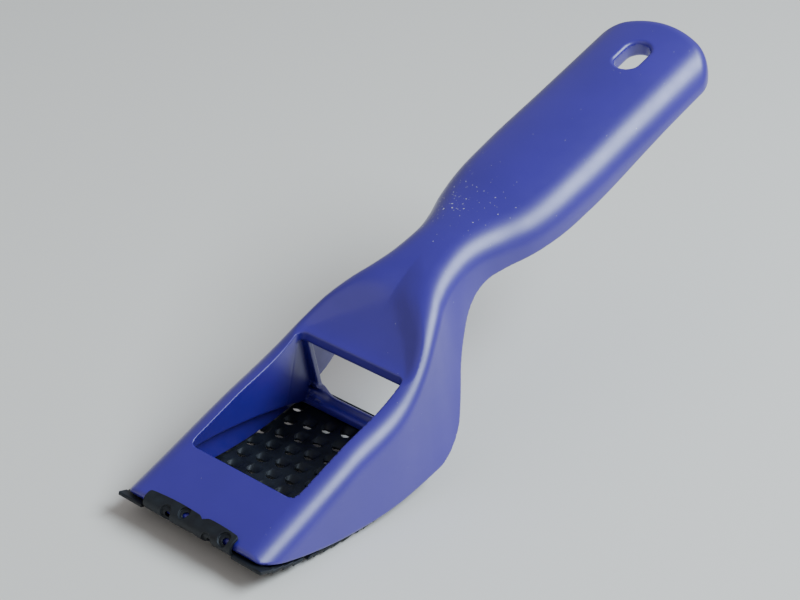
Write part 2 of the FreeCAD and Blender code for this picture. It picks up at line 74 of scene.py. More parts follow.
# Thumb dish: place along X, floor height on the centre line, and half-width of its flat floor
DISH_SECTIONS = (
    (16, 28.5, 15.4),
    (21.9, 29.0, 15.2),
    (28, 33.3, 9.6),
    (31, 35.9, 5.4),
    (34.5, 38.9, 1.0),
    (40, 43.0, 0.0),
    (46, 47.3, 0.0),
    (52, 51.5, 0.0),
    (60, 57.0, 0.0),
    (150, 110.0, 0.0),
)
DISH_LEAN = math.tan(math.radians(19))
# Width over which the dish's floor turns up into its sides, and how that width grows along X
DISH_TURN = 0.4
DISH_TURN_GROWTH = 0.16
DISH_TURN_FROM = 24
DISH_TURN_RUN = 20

# Rim: the cutting arc, straight beyond HEEL_X, then the slanting heel and the underside of the handle.
# Corners are given as X and Z, and the underside as places along X and heights.
ARC_CENTRE = 110.7
RIM_RADIUS = 108.7
NOSE_X = -28.9
HEEL_X = 29.5
HEEL_CORNER = (35.2, 7.7)
HEEL_CORNER_RADIUS = 6.0
RISE_CORNER = (46.3, 37.4)
RISE_CORNER_RADIUS = 11.0
UNDERSIDE_LINE = ((30, 32.0), (46.3, 36.6), (60, 40.6), (80, 46.8), (100, 54.2), (120, 62.2), (146, 71.6))

HANDLE_END_X = 144.3
HANDLE_END_ROUND = 40.0

# Window in the top, with a front wall that leans forward below FRONT_LEAN_TOP
WINDOW_FRONT = -13.9
WINDOW_REAR = 21.9
WINDOW_HALF = 15.5
WINDOW_CORNER = 2.0
FRONT_LEAN = 0.06
FRONT_LEAN_TOP = 16

# Throat below the window, which is THROAT_HALF wide at its bottom
THROAT_HALF = 18.0
THROAT_BOTTOM = 4.0
# Wider seat above the blade: its top falls towards the heel, and a soft step leads down into it
SEAT_HALF = 20.0
SEAT_TOP = 10.9
SEAT_FALL = 0.0028
SEAT_FALL_FROM = -14
SEAT_FALL_RUN = 60
SEAT_STEP = 0.13

# Hollow behind the window, inside a wall of even thickness
WALL = 2.4
HOLLOW_FRONT = 20.2

# Slanting rib inside each side wall. Its top and foot are given as X and Z.
RIB_TOP = (22.3, 27.2)
RIB_FOOT = (28.9, 11.0)
RIB_THICK = 1.9
RIB_INSET = 1.1
RIB_LEAN = 0.07
RIB_MIDDLE_Z = 17.5
RIB_HALF_HEIGHT = 10.5
# Added to a height, this reads the throat's half-width clear of the seat
ABOVE_SEAT = 30

# Bar across the heel: part of a ring, from BAR_FRONT round to BAR_TURN, counted from straight down
BAR_CENTRE = (27.93, 9.79)
BAR_RADIUS = 3.2
BAR_THICK = 1.6
BAR_OUTER = BAR_RADIUS + BAR_THICK / 2
BAR_TURN = math.radians(68)
BAR_FRONT = 27.4
# Gusset at each end of the bar: its size, where it starts to fade, and over what width
GUSSET = 1.9
GUSSET_Y = 16.5
GUSSET_FADE = 2.6

# Hanging slot, at X and Z, and the collar round its underside
SLOT_PLACE = (127.6, 73.6)
SLOT_TILT = math.radians(19)
SLOT_RADIUS = 3.4
SLOT_HALF_RUN = 2.3
COLLAR_WALL = 2.0
COLLAR_DEPTH = 4.8

# Ribs, bar and collar are rooted in the wall up to this depth below the skin
ROOT_DEPTH = 0.8

# Rounded edges and fillets
DISH_EDGE = 0.7
HANDLE_END_EDGE = 5.0
RIM_EDGE = 0.8
NOSE_EDGE = 0.6
WINDOW_EDGE = 0.3
HOLLOW_EDGE = 0.5
HOLLOW_END_CORNER = 2.0
THROAT_CORNER = 0.8
RIB_CORNER = 0.6
RIB_EDGE = 0.6
RIB_END_EDGE = 0.3
RIB_FILLET = 0.35
BAR_EDGE = 0.5
BAR_FRONT_EDGE = 0.3
BAR_FILLET = 0.5
COLLAR_EDGE = 0.4
COLLAR_FILLET = 0.6
SLOT_EDGE = 1.1

# Grid that the body is meshed on: its cell, and its span along each axis
BODY_CELL = 0.5
BODY_SPANS = ((NOSE_X - 1.3, HANDLE_END_X + 1.0), (-23.85, 24.0), (0.9, 83.5))

# ---------------------------------------------------------------- the blade's dimensions, in millimetres

SHEET = 0.8
BLADE_GAP = 0.35
BLADE_HALF = 21.4
BLADE_INNER = RIM_RADIUS + BLADE_GAP
BLADE_CORNER = 0.6
# Length by which the tab and the lip overlap the main sheet
OVERLAP = 0.5

# Line of the body's top under the tab: its height at X = 0 and its slope
TOP_AT_ORIGIN = 19.7
TOP_SLOPE = math.atan(0.425)
NOSE_BEND = 1.25

# Flat edges beside the tab: how far their middle lies before the nose bend, and half their length
FLANGE_LEAD = 0.456
FLANGE_HALF = 1.2
FLANGE_CORNER = 0.5

# Tab folded back over the toe
TAB_LEFT = 13.6
TAB_RIGHT = -12.4
TAB_FLAT = 2.2
TAB_RELIEF = 0.4
TAB_RELIEF_EDGE = 0.1
TAB_CORNER = 0.7
# The tab's wavy end, left and right of a notch: each lobe's middle, how far back it lies, and its curvature
TAB_LOBES = ((4, 0.3, 0.007), (-6, 0.15, 0.009))
TAB_NOTCH_Y = -2.3
TAB_NOTCH_DEPTH = 0.6
TAB_NOTCH_WIDTH = 0.8
# Flattened teeth on the tab: distance from its end, place across, and radius of the dimple
DIMPLES = ((1.7, 2.5, 1.3), (3.5, 6.9, 1.4), (5.6, -1.3, 1.35), (4.3, -5.4, 1.4), (2.3, -9.8, 1.4))
DIMPLE_FLOOR = 0.3
DIMPLE_EDGE = 0.12
# Dimples are cut no further than this behind the start of the nose bend
DIMPLE_LIMIT = 2
# The small opening left in each dimple: its radius, and its shift along and across
OPENING = 0.75
OPENING_SHIFT = (0.3, -0.4)

# Lip hooked round the heel bar
LIP_HALF = 16.6
LIP_CORNER = 0.7
LIP_END_EDGE = 0.3

# Leaning rows of holes: pitch along and across, lean of the rows, and how far the holes' centres stay from
# the nose, the heel and the sides
HOLE_STEP_X = 4.9
HOLE_STEP_Y = 4.7
ROW_LEAN_X = -1.45
ROW_LEAN_Y = 1.55
START_MARGIN = 1.2
END_MARGIN = 2.4
SIDE_MARGIN = 0.4
# Each hole: radius, middle, narrowing along the blade, and where the tooth's edge cuts it off
HOLE_RADIUS = 1.3
HOLE_MIDDLE = -0.35
HOLE_NARROWING = 1.25
HOLE_CUT = 0.45
HOLE_CORNER = 0.3
HOLE_EDGE = 0.1

# Each tooth: a half dome that rises towards the toe, from TOOTH_REACH to TOOTH_CREST, and ends in an edge at
# TOOTH_EDGE. These places are counted from the hole's centre towards the heel.
TOOTH_HEIGHT = 0.85
TOOTH_HALF = 1.75
TOOTH_REACH = 2.6
TOOTH_CREST = 0.35
TOOTH_EDGE = -0.3
TOOTH_RISE_POWER = 1.5
TOOTH_ROUND_POWER = 0.7
TOOTH_THINNING = 0.25

# Half teeth along both side edges
SAW_PITCH = 3.3
SAW_DEPTH = 0.6
SAW_WIDTH = 1.3
SAW_END = 1
SAW_POWER = 0.8

SHEET_EDGE = 0.12
# Keeps the slope of the blade's distance near 1 where teeth rise steeply
BLADE_EASE = 0.8
# A distance well inside the solid, used where nothing is cut
UNCUT = -5.0


# ---------------------------------------------------------------- curves and rounded joins of distance fields


def curve(places, values):
    """A smooth curve through the given values, as a function that returns values and slopes."""
    step = np.diff(places)
    rise = np.diff(values) / step
    slopes = np.empty_like(values)
    slopes[0], slopes[-1] = rise[0], rise[-1]
    slopes[1:-1] = (rise[:-1] * step[1:] + rise[1:] * step[:-1]) / (step[1:] + step[:-1])

    def at(x):
        inside = np.clip(x, places[0], places[-1])
        i = np.clip(np.searchsorted(places, inside) - 1, 0, len(step) - 1)
        span = step[i]
        t = (inside - places[i]) / span
        value = (
            values[i] * (1 + 2 * t) * (1 - t) ** 2
            + span * slopes[i] * t * (1 - t) ** 2
            + values[i + 1] * t**2 * (3 - 2 * t)
            + span * slopes[i + 1] * t**2 * (t - 1)
        )
        slope = (
            6 * t * (t - 1) * (values[i] - values[i + 1]) / span
            + slopes[i] * (1 - t) * (1 - 3 * t)
            + slopes[i + 1] * t * (3 * t - 2)
        )
        return value, slope

    return at


def both(a, b, radius=0.0):
    """Inside both solids, with the edge where they meet rounded."""
    if radius == 0:
        return np.maximum(a, b)
    near = np.hypot(np.maximum(a + radius, 0), np.maximum(b + radius, 0))
    return np.minimum(np.maximum(a, b), -radius) + near


def either(a, b, radius=0.0):
    """Inside one solid or the other, with a fillet where they meet."""
    return -both(-a, -b, radius)


def along_line(x, z, start, end):
    """Distance to the right of the line from start to end, in the side view."""
    dx, dz = end[0] - start[0], end[1] - start[1]
    return ((x - start[0]) * dz - (z - start[1]) * dx) / math.hypot(dx, dz)


def columns(rows):
    """The columns of a list of sections, each as an array."""
    return np.array(rows, float).T


skin_places, halves, tops, shoulders, crowns, drafts = columns(SKIN_SECTIONS)
skin_half = curve(skin_places, halves)
skin_top = curve(skin_places, tops)
skin_shoulder = curve(skin_places, shoulders)
skin_log_crown = curve(skin_places, np.log(crowns))
skin_draft = curve(skin_places, np.radians(drafts))

dish_places, floors, flats = columns(DISH_SECTIONS)
dish_floor = curve(dish_places, floors)
dish_flat = curve(dish_places, flats)

underside = curve(*columns(UNDERSIDE_LINE))


# ---------------------------------------------------------------- the moulded body


def skin(x, y, z):
    """Outer skin without its openings: drafted sides, round shoulders and a crowned top."""
    half, half_slope = skin_half(x)
    top, top_slope = skin_top(x)
    shoulder, shoulder_slope = skin_shoulder(x)
    crown = np.exp(skin_log_crown(x)[0])
    draft = skin_draft(x)[0]
    cy, cz = half - shoulder, top - shoulder
    across, up = y - cy, z - cz
    side_y, side_z = np.cos(draft), np.sin(draft)
    side = across * side_y + up * side_z - shoulder
    crown_z = cz - np.sqrt((crown - shoulder) ** 2 - cy**2)
    reach = np.hypot(y, z - crown_z)
    top_gap = reach - crown
    corner = np.hypot(across, up)
    on_corner = (up * side_y - across * side_z > 0) & (y * (cz - crown_z) - (z - crown_z) * cy > 0)
    flat = np.maximum(side, top_gap)
    distance = np.where(on_corner, corner - shoulder, flat)
    safe = np.maximum(corner, TINY)
    on_side = side > top_gap
    ny = np.where(on_corner, across / safe, np.where(on_side, side_y, y / reach))
    nz = np.where(on_corner, up / safe, np.where(on_side, side_z, (z - crown_z) / reach))
    # The section changes along X, which shortens the true distance
    lean = (half_slope - shoulder_slope) * ny + (top_slope - shoulder_slope) * nz + shoulder_slope
    return distance / np.sqrt(1 + lean**2)


def dish(x, y, z):
    """Thumb dish: a flat floor that narrows and rises, between gently leaning sides. Positive in its air."""
    (floor, slope), (flat, _) = dish_floor(x), dish_flat(x)
    turn = DISH_TURN + DISH_TURN_GROWTH * np.clip(x - DISH_TURN_FROM, 0, DISH_TURN_RUN)
    over = y - flat
    rise = 0.5 * (over + np.sqrt(over**2 + turn**2))
    return (z - floor - DISH_LEAN * rise) / np.sqrt(1 + slope**2)


def rim(x, z):
    """Everything above the rim: the cutting arc, the heel and the underside of the handle."""
    drop = math.sqrt(RIM_RADIUS**2 - HEEL_X**2)
    curved = np.hypot(x, z - ARC_CENTRE) - RIM_RADIUS
    straight = (np.abs(x) * HEEL_X - (z - ARC_CENTRE) * drop) / RIM_RADIUS - RIM_RADIUS
    arc = np.where(np.abs(x) < HEEL_X, curved, straight)
    heel = along_line(x, z, HEEL_CORNER, RISE_CORNER)
    height, slope = underside(x)
    handle = (height - z) / np.sqrt(1 + slope**2)
    return both(arc, either(heel, handle, RISE_CORNER_RADIUS), HEEL_CORNER_RADIUS)


def handle_end(x, y):
    """Everything short of the rounded end of the handle, in plan."""
    ahead = x - HANDLE_END_X + HANDLE_END_ROUND
    return np.where(ahead > 0, np.hypot(ahead, y), y) - HANDLE_END_ROUND


def throat_side(x, z):
    """Half-width of the space inside the frame: it widens downwards and steps out at the blade's seat."""
    top = skin_top(x)[0]
    down = (top - z) / (top - THROAT_BOTTOM)
    wall = WINDOW_HALF + (THROAT_HALF - WINDOW_HALF) * np.clip(down, 0, 1)
    seat = SEAT_TOP - SEAT_FALL * np.clip(x - SEAT_FALL_FROM, 0, SEAT_FALL_RUN) ** 2
    step = 1 / (1 + np.exp((z - seat) / SEAT_STEP))
    return wall + (SEAT_HALF - wall) * step


def window(x, y, z):
    """Air of the window and of the throat below it."""
    middle = (WINDOW_FRONT + WINDOW_REAR) / 2
    reach = (WINDOW_REAR - WINDOW_FRONT) / 2
    lean = FRONT_LEAN * np.clip(FRONT_LEAN_TOP - z, 0, FRONT_LEAN_TOP)
    along = np.abs(x - middle) - reach - np.where(x < middle, lean, 0)
    across = y - throat_side(x, z)
    return both(along, across, WINDOW_CORNER)


def rib_line(x, z):
    """Distance behind the slanting line that the rib follows."""
    return along_line(x, z, RIB_FOOT, RIB_TOP)


def hollow(x, y, z, shell, end):
    """Air under the thumb dish, the neck and the handle."""
    inside = both(both(shell + WALL, end + WALL, HOLLOW_END_CORNER), HOLLOW_FRONT - x)
    throat = both(inside, y - throat_side(x, z), THROAT_CORNER)
    behind_rib = both(inside, RIB_THICK - rib_line(x, z), RIB_CORNER)
    return np.minimum(throat, behind_rib)


def rib(x, y, z, shell):
    """Slanting rib inside the side wall, standing a little proud of the throat."""
    line = np.abs(rib_line(x, z) - RIB_THICK / 2) - RIB_THICK / 2
    inner = throat_side(x, z + ABOVE_SEAT) - RIB_INSET + RIB_LEAN * (RIB_TOP[1] - z) - y
    height = np.abs(z - RIB_MIDDLE_Z) - RIB_HALF_HEIGHT
    return both(both(line, inner, RIB_EDGE), both(shell + ROOT_DEPTH, height, RIB_END_EDGE), RIB_END_EDGE)


def heel_bar(x, y, z, shell):
    """Bar across the heel, with a gusset where it meets each wall."""
    dx, dz = x - BAR_CENTRE[0], z - BAR_CENTRE[1]
    gusset = GUSSET * np.exp(-((np.maximum(GUSSET_Y - y, 0) / GUSSET_FADE) ** 2))
    inwards = gusset / 2 * (dx > 0)
    ring = np.abs(np.hypot(dx, dz) - BAR_RADIUS + inwards) - BAR_THICK / 2 - inwards
    stop = dx * math.cos(BAR_TURN) + dz * math.sin(BAR_TURN) - gusset
    bar = both(both(ring, stop, BAR_EDGE), BAR_FRONT - x, BAR_FRONT_EDGE)
    return both(bar, shell + ROOT_DEPTH)


def hanging_slot(x, y, z):
    """Obround hole through the end of the handle, square to its top."""
    dx, dz = x - SLOT_PLACE[0], z - SLOT_PLACE[1]
    run = dx * math.cos(SLOT_TILT) + dz * math.sin(SLOT_TILT)
    return np.hypot(np.maximum(np.abs(run) - SLOT_HALF_RUN, 0), y) - SLOT_RADIUS


def body_field(x, y, z):
    """The whole moulded body, which is the same on both sides."""
    y = np.abs(y)
    end = handle_end(x, y)
    shell = both(skin(x, y, z), dish(x, y, z), DISH_EDGE)
    solid = both(shell, end, HANDLE_END_EDGE)
    solid = both(solid, rim(x, z), RIM_EDGE)
    solid = both(solid, NOSE_X - x, NOSE_EDGE)
    solid = both(solid, -window(x, y, z), WINDOW_EDGE)
    solid = both(solid, -hollow(x, y, z, shell, end), HOLLOW_EDGE)
    solid = either(solid, rib(x, y, z, shell), RIB_FILLET)
    solid = either(solid, heel_bar(x, y, z, shell), BAR_FILLET)
    slot = hanging_slot(x, y, z)
    collar = both(both(slot - COLLAR_WALL, -shell - COLLAR_DEPTH, COLLAR_EDGE), shell + ROOT_DEPTH)
    solid = either(solid, collar, COLLAR_FILLET)
    return both(solid, -slot, SLOT_EDGE)


# ---------------------------------------------------------------- the perforated blade


def nose_bend():
    """Centre of the bend round the nose, and the direction in which it starts."""
    # The centre lies on a line parallel to the body's top, where that meets a circle inside the arc
    slope = math.tan(TOP_SLOPE)
    lift = TOP_AT_ORIGIN + (BLADE_GAP - NOSE_BEND) / math.cos(TOP_SLOPE) - ARC_CENTRE
    reach = BLADE_INNER - NOSE_BEND
    a, b, c = 1 + slope**2, 2 * slope * lift, lift**2 - reach**2
    x = (-b - math.sqrt(b * b - 4 * a * c)) / (2 * a)
    z = lift + ARC_CENTRE + slope * x
    return x, z, math.atan2(-x, ARC_CENTRE - z)


BEND_X, BEND_Z, BEND_START = nose_bend()
BEND_TURN = math.pi - TOP_SLOPE - BEND_START
HEEL_START = math.asin(BAR_CENTRE[0] / (RIM_RADIUS - BAR_OUTER))
HEEL_BEND = BAR_OUTER + BLADE_GAP
# Distances along the sheet's inner face, counted from the lowest point of the arc
S_NOSE = -BLADE_INNER * BEND_START
S_TAB_FLAT = S_NOSE - NOSE_BEND * BEND_TURN
S_TAB_END = S_TAB_FLAT - TAB_FLAT
S_HEEL = BLADE_INNER * HEEL_START
S_LIP_END = S_HEEL + HEEL_BEND * (BAR_TURN - HEEL_START)

# Grid that the flat blade is meshed on, along, across and through it: low end, high end and cell
BLADE_CELL = 0.29
DEPTH_CELL = 0.2
BLADE_SPANS = (
    (S_TAB_END - 0.8, S_LIP_END + 0.8, BLADE_CELL),
    (-BLADE_HALF - 0.73, BLADE_HALF + 0.8, BLADE_CELL),
    (-0.42, SHEET + TOOTH_HEIGHT + 0.5, DEPTH_CELL),
)


def nearest_hole(s, y):
    """Centre of the nearest hole of the leaning rows, along and across the blade."""
    spread = HOLE_STEP_X * HOLE_STEP_Y - ROW_LEAN_X * ROW_LEAN_Y
    row = np.round((s * HOLE_STEP_Y - y * ROW_LEAN_X) / spread)
    step = np.round((y * HOLE_STEP_X - s * ROW_LEAN_Y) / spread)
    return row * HOLE_STEP_X + step * ROW_LEAN_X, row * ROW_LEAN_Y + step * HOLE_STEP_Y


def sheet_outline(s, y):
    """Flat outline of the blade before it is bent, negative inside."""
    width = np.abs(y) - BLADE_HALF
    main = both(np.abs(s - (S_HEEL + S_NOSE) / 2) - (S_HEEL - S_NOSE) / 2, width, BLADE_CORNER)
    front = both(np.abs(s - S_NOSE + FLANGE_LEAD) - FLANGE_HALF, width, FLANGE_CORNER)
    tab_width = np.abs(y - (TAB_LEFT + TAB_RIGHT) / 2) - (TAB_LEFT - TAB_RIGHT) / 2
    front = both(front, TAB_RELIEF - tab_width, TAB_RELIEF_EDGE)
    left_lobe, right_lobe = (back + curvature * (y - middle) ** 2 for middle, back, curvature in TAB_LOBES)
    notch = TAB_NOTCH_DEPTH * np.exp(-(((y - TAB_NOTCH_Y) / TAB_NOTCH_WIDTH) ** 2))
    wave = np.where(y > TAB_NOTCH_Y, left_lobe, right_lobe) + notch
    tab = both(both(S_TAB_END + wave - s, s - S_NOSE - OVERLAP), tab_width, TAB_CORNER)
    lip = both(both(S_HEEL - OVERLAP - s, s - S_LIP_END, LIP_END_EDGE), np.abs(y) - LIP_HALF, LIP_CORNER)
    return np.minimum(np.minimum(main, front), np.minimum(tab, lip))


def side_teeth(s, y):
    """How far the half teeth along the side edges stand out."""
    near_edge = np.clip((np.abs(y) - BLADE_HALF + SAW_WIDTH) / SAW_WIDTH, 0, 1)
    on_arc = (s > S_NOSE + SAW_END) & (s < S_HEEL - SAW_END)
    return SAW_DEPTH * near_edge * on_arc * (1 - np.mod(s / SAW_PITCH, 1)) ** SAW_POWER


def dimple(s, y, n, along, across, radius):
    """Air of one flattened tooth on the tab: a shallow dimple with a small opening. Positive in the air."""
    ds, dy = s - S_TAB_END - along, y - across
    hollowed = np.minimum(radius - np.hypot(ds, dy), n - DIMPLE_FLOOR)
    opening = OPENING - np.hypot(ds - OPENING_SHIFT[0], dy - OPENING_SHIFT[1])
    return np.where(s < S_NOSE + DIMPLE_LIMIT, np.maximum(hollowed, opening), UNCUT)


def blade_field(s, y, n):
    """The blade laid out flat: n is the depth below the sheet's inner face."""
    centre_s, centre_y = nearest_hole(s, y)
    ds, dy = s - centre_s, y - centre_y
    in_rows = (centre_s > S_NOSE + START_MARGIN) & (centre_s < S_HEEL - END_MARGIN)
    in_rows = in_rows & (np.abs(centre_y) < BLADE_HALF - SIDE_MARGIN)
    fan = np.clip(1 - (np.abs(dy) / TOOTH_HALF) ** 2, 0, 1)
    slide = np.clip((TOOTH_REACH - ds) / (TOOTH_REACH - TOOTH_CREST), 0, 1)
    ramp = slide**TOOTH_RISE_POWER * (ds > TOOTH_EDGE)
    lift = np.where(in_rows, TOOTH_HEIGHT * ramp * fan**TOOTH_ROUND_POWER, 0)
    lift = np.maximum(lift, side_teeth(s, y))
    thick = SHEET - TOOTH_THINNING * np.where(in_rows, ramp * fan, 0)
    plate = np.abs(n - lift - SHEET / 2) - thick / 2
    round_hole = np.hypot((ds - HOLE_MIDDLE) * HOLE_NARROWING, dy) - HOLE_RADIUS
    hole = both(round_hole, ds - HOLE_CUT, HOLE_CORNER)
    plate = both(plate, np.where(in_rows, -hole, UNCUT), HOLE_EDGE)
    for along, across, radius in DIMPLES:
        plate = both(plate, dimple(s, y, n, along, across, radius), DIMPLE_EDGE)
    return both(plate * BLADE_EASE, sheet_outline(s, y), SHEET_EDGE)


def bend_sheet(s, y, n):
    """Bends the flat blade: round the nose on the tab, along the cutting arc, and round the heel bar."""
    on_tab = (s < S_NOSE) & (y > TAB_RIGHT - TAB_RELIEF / 2) & (y < TAB_LEFT + TAB_RELIEF / 2)
    angle = np.where(on_tab, np.clip((S_NOSE - s) / NOSE_BEND, 0, BEND_TURN), 0) + BEND_START
    beyond = np.where(on_tab, np.maximum(S_TAB_FLAT - s, 0), 0)
    nose_x = BEND_X - (NOSE_BEND + n) * np.sin(angle) + beyond * math.cos(TOP_SLOPE)
    nose_z = BEND_Z - (NOSE_BEND + n) * np.cos(angle) + beyond * math.sin(TOP_SLOPE)
    heel = np.clip((s - S_HEEL) / HEEL_BEND, 0, None) + HEEL_START
    heel_x = BAR_CENTRE[0] + (HEEL_BEND + n) * np.sin(heel)
    heel_z = BAR_CENTRE[1] - (HEEL_BEND + n) * np.cos(heel)
    turn = s / BLADE_INNER
    arc_x = (BLADE_INNER + n) * np.sin(turn)
    arc_z = ARC_CENTRE - (BLADE_INNER + n) * np.cos(turn)
    x = np.where(on_tab, nose_x, np.where(s > S_HEEL, heel_x, arc_x))
    z = np.where(on_tab, nose_z, np.where(s > S_HEEL, heel_z, arc_z))
    return np.stack([x, y, z], axis=1)


# ---------------------------------------------------------------- meshing a distance field

# Least squared slope that a point is moved by, so that a flat spot can't throw it far
LEAST_SLOPE = 0.05
# Half-lengths of the steps that slopes and bent normals are measured over
SLOPE_REACH = 0.04
FACING_REACH = 0.08
NORMAL_REACH = 0.05


def grid_axis(low, high, cell):
    """Places of the grid's points along one axis."""
    return np.arange(low, high + cell, cell)


def sample(field, axes, slabs=24):
    """Values of a field on a grid, worked out slab by slab along X."""
    xs, ys, zs = axes
    parts = [field(x[:, None, None], ys[None, :, None], zs[None, None, :]) for x in np.array_split(xs, slabs)]
    whole = [np.broadcast_to(part, (part.shape[0], len(ys), len(zs))) for part in parts]
    return np.concatenate(whole).astype(np.float32)


def surface_net(values, axes):
    """Vertices and quads of the zero surface: a vertex in each crossed cell, a quad on each crossed edge."""
    inside = values < 0
    shape = tuple(n - 1 for n in values.shape)
    total = np.zeros(shape + (3,), np.float32)
    count = np.zeros(shape, np.int32)
    edges = []
    for axis in range(3):
        low = [slice(None)] * 3
        high = [slice(None)] * 3
        low[axis], high[axis] = slice(0, -1), slice(1, None)
        a, b = values[tuple(low)], values[tuple(high)]
        crossed = inside[tuple(low)] != inside[tuple(high)]
        at = np.argwhere(crossed)
        share = a[crossed] / (a[crossed] - b[crossed])
        edges.append((axis, at, inside[tuple(low)][crossed]))
        others = [k for k in range(3) if k != axis]
        for first in (0, 1):
            for second in (0, 1):
                cell = at.copy()
                cell[:, others[0]] -= first
                cell[:, others[1]] -= second
                good = np.all((cell >= 0) & (cell < np.array(shape)), axis=1)
                place = at[good].astype(np.float32)
                place[:, axis] += share[good]
                index = tuple(cell[good].T)
                np.add.at(count, index, 1)
                np.add.at(total, index, place)
    cells = np.argwhere(count > 0)
    number = np.full(shape, -1, np.int64)
    number[tuple(cells.T)] = np.arange(len(cells))
    mean = total[tuple(cells.T)] / count[tuple(cells.T)][:, None]
    origin = np.array([a[0] for a in axes])
    step = np.array([a[1] - a[0] for a in axes])
    return origin + mean * step, join_quads(edges, number, shape)


def join_quads(edges, number, shape):
    """One quad round each crossed grid edge, wound so that it faces out of the solid."""
    quads = []
    for axis, at, low_inside in edges:
        u, v = (axis + 1) % 3, (axis + 2) % 3
        corners = []
        for du, dv in ((1, 1), (0, 1), (0, 0), (1, 0)):
            cell = at.copy()
            cell[:, u] -= du
            cell[:, v] -= dv
            corners.append(cell)
        good = np.all([np.all((c >= 0) & (c < np.array(shape)), axis=1) for c in corners], axis=0)
        ring = np.stack([number[tuple(c[good].T)] for c in corners], axis=1)
        flip = ~low_inside[good]
        ring[flip] = ring[flip][:, ::-1]
        quads.append(ring)
    return np.concatenate(quads)


def gradient(field, points, reach=SLOPE_REACH):
    """Slope of a field at points, by central differences."""
    slopes = []
    for axis in range(3):
        shift = np.zeros(3)
        shift[axis] = reach
        ahead, behind = points + shift, points - shift
        slopes.append((field(*ahead.T) - field(*behind.T)) / (2 * reach))
    return np.stack(slopes, axis=1)


def settle(field, points, cell, rounds=3):
    """Moves points onto the zero surface, at most half a cell from where the grid put them."""
    moved = points.copy()
    for _ in range(rounds):
        slope = gradient(field, moved)
        size = np.maximum((slope**2).sum(axis=1), LEAST_SLOPE)
        moved -= slope * (field(*moved.T) / size)[:, None]
        moved = points + np.clip(moved - points, -cell / 2, cell / 2)
    return moved


def unit(vectors):
    """The same directions, each one unit long."""
    return vectors / np.maximum(np.linalg.norm(vectors, axis=1), TINY)[:, None]


def make_piece(name, points, quads, normals):
    """A smooth mesh object from points in millimetres."""
    mesh = bpy.data.meshes.new(name)
    mesh.from_pydata((points * MM).tolist(), [], quads.tolist())
    mesh.validate()
    mesh.update()
    mesh.shade_smooth()
    mesh.normals_split_custom_set_from_vertices(normals.tolist())
    piece = bpy.data.objects.new(name, mesh)
    bpy.context.scene.collection.objects.link(piece)
    return piece


def make_body():
    """Moulded body, meshed from its distance field."""
    axes = [grid_axis(low, high, BODY_CELL) for low, high in BODY_SPANS]
    points, quads = surface_net(sample(body_field, axes), axes)
    points = settle(body_field, points, BODY_CELL)
    return make_piece("moulded_body", points, quads, unit(gradient(body_field, points)))


def make_blade():
    """Perforated blade: meshed flat, then bent into place."""
    axes = [grid_axis(low, high, cell) for low, high, cell in BLADE_SPANS]
    flat, quads = surface_net(sample(blade_field, axes), axes)
    flat = settle(blade_field, flat, BLADE_CELL, rounds=2)
    step = NORMAL_REACH * unit(gradient(blade_field, flat, FACING_REACH))
    normals = unit(bend_sheet(*(flat + step).T) - bend_sheet(*(flat - step).T))
    return make_piece("perforated_blade", bend_sheet(*flat.T), quads[:, ::-1], normals)


# ---------------------------------------------------------------- materials: lengths in metres

# Each pair runs from the noise's low patches to its high ones
PLASTIC_COLOURS = ((0.024, 0.006, 0.262), (0.030, 0.008, 0.300))
PLASTIC_ROUGHNESS = (0.38, 0.46)
PLASTIC_GRAIN = 0.00004
STEEL_COLOURS = ((0.008, 0.009, 0.013), (0.020, 0.026, 0.034))
STEEL_ROUGHNESS = (0.42, 0.62)
STEEL_GRAIN = 0.00005
FLOOR_COLOUR = (0.80, 0.75, 0.68)
FLOOR_ROUGHNESS = 0.8

# Wood dust: its colour, where it has settled, the distances over which it thins out, the extra height that
# the noise gets at the middle, the heights between which specks appear, and how far they cover the plastic
DUST_COLOUR = (0.62, 0.62, 0.70)
DUST_MIDDLE = (0.064, 0.006, 0.053)
DUST_FADE = (0.004, 0.022)
DUST_GATHERING = 0.11
DUST_SPECKS = (0.79, 0.82)
DUST_COVER = 0.8


